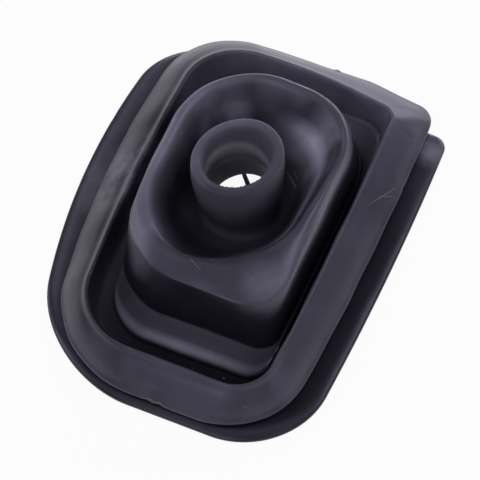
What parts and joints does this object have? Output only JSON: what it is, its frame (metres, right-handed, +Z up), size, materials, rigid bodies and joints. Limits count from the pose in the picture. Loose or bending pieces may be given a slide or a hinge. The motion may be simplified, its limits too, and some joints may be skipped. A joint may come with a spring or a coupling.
{
  "type": "gear lever gaiter",
  "caption": "Moulded black rubber gear lever gaiter with a double flange, a raised oval dome and a short neck for the lever.",
  "frame": {"origin": "middle of the part's footprint on the plane of the lower flange's underside", "axes": "+Z up along the neck, +Y towards the rear edge where the upper flange overhangs, +X to the right seen from the front edge"},
  "size_m": [0.124, 0.1606, 0.05],
  "materials": {
    "rubber": "satin"
  },
  "bodies": {
    "root": {"gaiter": "rubber"}
  },
  "joints": []
}
